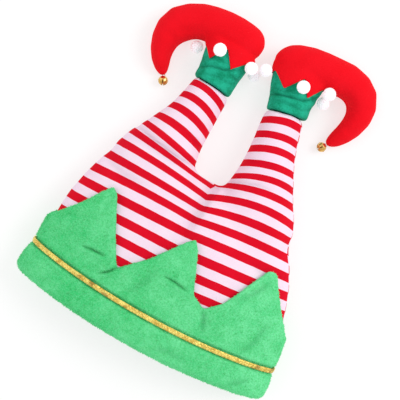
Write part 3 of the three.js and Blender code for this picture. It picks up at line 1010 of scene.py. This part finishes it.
# %% Boots
felt_look = Look("red_felt", Roughness=0.92, Specular_IOR_Level=0.12)
spot = felt_look.place()
fibre = felt_look.noise(spot, 620.0, 4.0, 0.75)
thread = felt_look.cells(spot, 900.0)
cloud = felt_look.noise(spot, 40.0, 3.0)
felt_look.wire(
    Base_Color=felt_look.mix(
        cloud * 0.7 + fibre * 0.3, srgb(228, 4, 18), srgb(248, 20, 38)
    ),
    Normal=felt_look.bump(fibre + thread * 0.4, 0.0006, 0.7),
)
CUFF_LINE = {"left": ((-92, 270), (-30, 269)), "right": ((-18, 276), (48, 286))}


def ankle_end(node, line):
    """The end of the ankle inside the boot, a little fuller, to close the felt over it."""
    plug = cloth_copy(node, "ankle_end")
    points = points_of(plug) + normals_of(plug) * 0.7 * MM
    (x0, y0), (x1, y1) = line
    at = laid(points)
    cut = y0 + 3.5 + (at[:, 0] - x0) * (y1 - y0) / (x1 - x0)
    points[:, 1] = np.maximum(at[:, 1], cut) * MM + LIES_AT.y
    put_points(plug, keep_on_floor(points))
    return plug


def soften_foot(obj, line, passes):
    """Smooth the stuffed foot hard and the toothed cuff hardly at all."""
    at = laid(points_of(obj))
    (x0, y0), (x1, y1) = line
    cuff_top = y0 + (at[:, 0] - x0) * (y1 - y0) / (x1 - x0)
    off_cuff = np.maximum(at[:, 1] - cuff_top, np.maximum(x0 - at[:, 0], at[:, 0] - x1))
    share = np.clip(off_cuff / 5, 0, 1)
    group = obj.vertex_groups.new(name="foot")
    for i in np.flatnonzero(share > 0):
        group.add([int(i)], float(share[i]), "REPLACE")
    finish_with(obj, "SMOOTH", factor=0.5, iterations=passes, vertex_group="foot")
    obj.vertex_groups.clear()
    return obj


def sew_round(obj, height, depth, width):
    """Pull in a seam at one height all round the outline."""
    points, normals = points_of(obj), normals_of(obj)
    level = (laid(points)[:, 2] - height) / width
    side_on = 1 - np.abs(normals[:, 2])
    put_points(obj, points - normals * (depth * MM * np.exp(-(level**2)) * side_on)[:, None])


FOOT_FOLDS = {
    "left": [
        ([(-118, 262), (-108, 268), (-98, 276)], 1.1, 4.0),
        ([(-112, 252), (-118, 256), (-130, 256)], 0.7, 3.5),
        ([(-52, 284), (-46, 290), (-40, 300)], 0.8, 4.0),
    ],
    "right": [
        ([(58, 292), (66, 288), (74, 280)], 1.1, 4.0),
        ([(76, 262), (84, 262), (92, 266)], 0.7, 3.5),
        ([(0, 296), (4, 302), (8, 312)], 0.8, 4.0),
    ],
}
for side, line in CUFF_LINE.items():
    node = "boot_" + side
    boot = cloth_copy(node, "felt_boot_" + side)
    solid = tree_of(boot)
    plug = ankle_end("ankle_collar_" + side, line)
    only(boot)
    plug.select_set(True)
    bpy.ops.object.join()
    even_skin(boot, 1.0 * MM, passes=3)
    soften_foot(boot, line, 55)
    set_back(boot, solid)
    for path, depth, width in FOOT_FOLDS[side]:
        crease(boot, path, depth, width, lowest=12)
    sew_round(boot, 15.0, 0.9, 0.9)
    felt_look.put_on(boot)
    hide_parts(node)
    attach(boot, "root")
    print(boot.name, triangles(boot), "triangles")

# %% [markdown]
# ## Pompoms and bells
#
# A pompom is a ball of cut yarn. One ball is modelled with a small core and hundreds of
# the same tufts, shorter and rounder than fur, and copied to each place. A bell is a
# thin pressed ball with a rim, a cross of slots and a loose pellet inside.

# %% One pompom
POMPOM = 7.0 * MM
bpy.ops.object.select_all(action="DESELECT")
bpy.ops.mesh.primitive_ico_sphere_add(subdivisions=3, radius=POMPOM * 0.86)
core = bpy.context.object
places, normals = spots_on(core, 1500, seed=11)
fluff = planted("fluff", places, normals, POMPOM * 0.15, 0.75 * MM, 13, untidy=0.22)
store(core, "tip", np.zeros(len(core.data.vertices)))
store(core, "tuft", np.full(len(core.data.vertices), 0.5))
only(core)
fluff.select_set(True)
bpy.ops.object.join()
core.name = "one_pompom"
print("pompom:", triangles(core), "triangles")

# The yarn glows faintly, painted light that lifts the shade among its tufts, and each tuft is
# painted whiter towards its tip, painted light too.
glowing_pile_look = Look(
    "white_pile_painted_glow",
    Roughness=1.0,
    Specular_IOR_Level=0.1,
    Emission_Color=(1, 0.98, 1, 1),
    Emission_Strength=0.16,
)
one = glowing_pile_look.attribute("tuft")[2]
tip = glowing_pile_look.attribute("tip")[2]
glowing_pile_look.wire(
    Base_Color=glowing_pile_look.mix(tip * 0.7 + one * 0.3, srgb(240, 238, 244), srgb(255, 255, 255))
)
glowing_pile_look.put_on(core)
for node in sorted(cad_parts):
    if not node.startswith("pompom"):
        continue
    lowest, highest = (Vector(c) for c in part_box(node))
    ball = bpy.data.objects.new(node.replace("pompom", "fluffy"), core.data.copy())
    bpy.context.scene.collection.objects.link(ball)
    turned = points_of(core) @ np.array(Matrix.Rotation(len(node) * 0.7 + lowest.x * 90, 3, "Z"))
    put_points(ball, keep_on_floor(turned + np.array((lowest + highest) / 2), 0.0001))
    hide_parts(node)
    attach(ball, "root")
bpy.data.objects.remove(core)

# %% One bell
BELL = 5.0 * MM


def bell_shell():
    """A thin ball with its poles on Y, slotted below, with a pressed rim."""
    bpy.ops.object.select_all(action="DESELECT")
    bpy.ops.mesh.primitive_uv_sphere_add(segments=40, ring_count=24, radius=BELL)
    shell = bpy.context.object
    only(shell)
    bpy.ops.object.mode_set(mode="EDIT")
    bpy.ops.mesh.select_mode(type="FACE")
    bpy.ops.mesh.select_all(action="DESELECT")
    bpy.ops.object.mode_set(mode="OBJECT")
    for face in shell.data.polygons:
        x, y, z = face.center / BELL
        turn = math.degrees(math.atan2(y, x)) % 90
        in_slot = min(turn, 90 - turn) < 5 and z < -0.3
        hole = min(turn, 90 - turn) < 12 and -0.42 < z < -0.22
        face.select = in_slot or hole or z < -0.96
    bpy.ops.object.mode_set(mode="EDIT")
    bpy.ops.mesh.delete(type="FACE")
    bpy.ops.object.mode_set(mode="OBJECT")
    points = points_of(shell)
    level = np.abs(points[:, 2]) / BELL
    swell = 1 + 0.07 * (level < 0.06)
    points[:, :2] *= swell[:, None]
    put_points(shell, points)
    finish_with(shell, "SOLIDIFY", thickness=0.35 * MM, offset=-1)
    finish_with(shell, "BEVEL", width=0.06 * MM, segments=1, limit_method="ANGLE")
    only(shell)
    bpy.ops.object.shade_smooth_by_angle(angle=math.radians(40))
    return shell


shell = bell_shell()
parts = [shell]
bpy.ops.object.select_all(action="DESELECT")
bpy.ops.mesh.primitive_torus_add(
    major_radius=1.3 * MM, minor_radius=0.3 * MM, major_segments=24, minor_segments=8,
    location=(0, 0, BELL + 0.7 * MM), rotation=(math.pi / 2, 0, 0),
)
parts.append(bpy.context.object)
bpy.ops.object.select_all(action="DESELECT")
bpy.ops.mesh.primitive_ico_sphere_add(
    subdivisions=2, radius=1.4 * MM, location=(0.4 * MM, 0, -2.6 * MM)
)
parts.append(bpy.context.object)
bpy.ops.object.select_all(action="DESELECT")
for part in parts:
    part.select_set(True)
bpy.context.view_layer.objects.active = shell
bpy.ops.object.join()
print("bell:", triangles(shell), "triangles")

brass_look = Look("bell_metal", Metallic=1.0)
spot = brass_look.place()
tarnish = brass_look.noise(spot, 260.0, 3.0)
brass_look.wire(
    Base_Color=brass_look.mix(tarnish.step(0.3, 0.7), srgb(206, 158, 78), srgb(244, 208, 132)),
    Roughness=tarnish * 0.25 + 0.15,
)
brass_look.put_on(shell)
BELL_HANGS = {"bell_left": (0.35, -0.85, 0.30), "bell_right": (-0.55, -0.75, 0.35)}
for node, way in BELL_HANGS.items():
    lowest, highest = (Vector(c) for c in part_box(node))
    bell = bpy.data.objects.new(node.replace("bell", "jingle"), shell.data.copy())
    bpy.context.scene.collection.objects.link(bell)
    turn = np.array(Vector(way).to_track_quat("-Z", "Y").to_matrix())
    put_points(bell, points_of(shell) @ turn.T + np.array((lowest + highest) / 2))
    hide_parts(node)
    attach(bell, "root")
bpy.data.objects.remove(shell)

# %% Sizes and finish
new_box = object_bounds()
grown = [round((new_box[1][k] - CAD_BOX[1][k]) / MM, 1) for k in range(3)]
print("grown by", grown, "mm at the top and", round((CAD_BOX[0][1] - new_box[0][1]) / MM, 1))
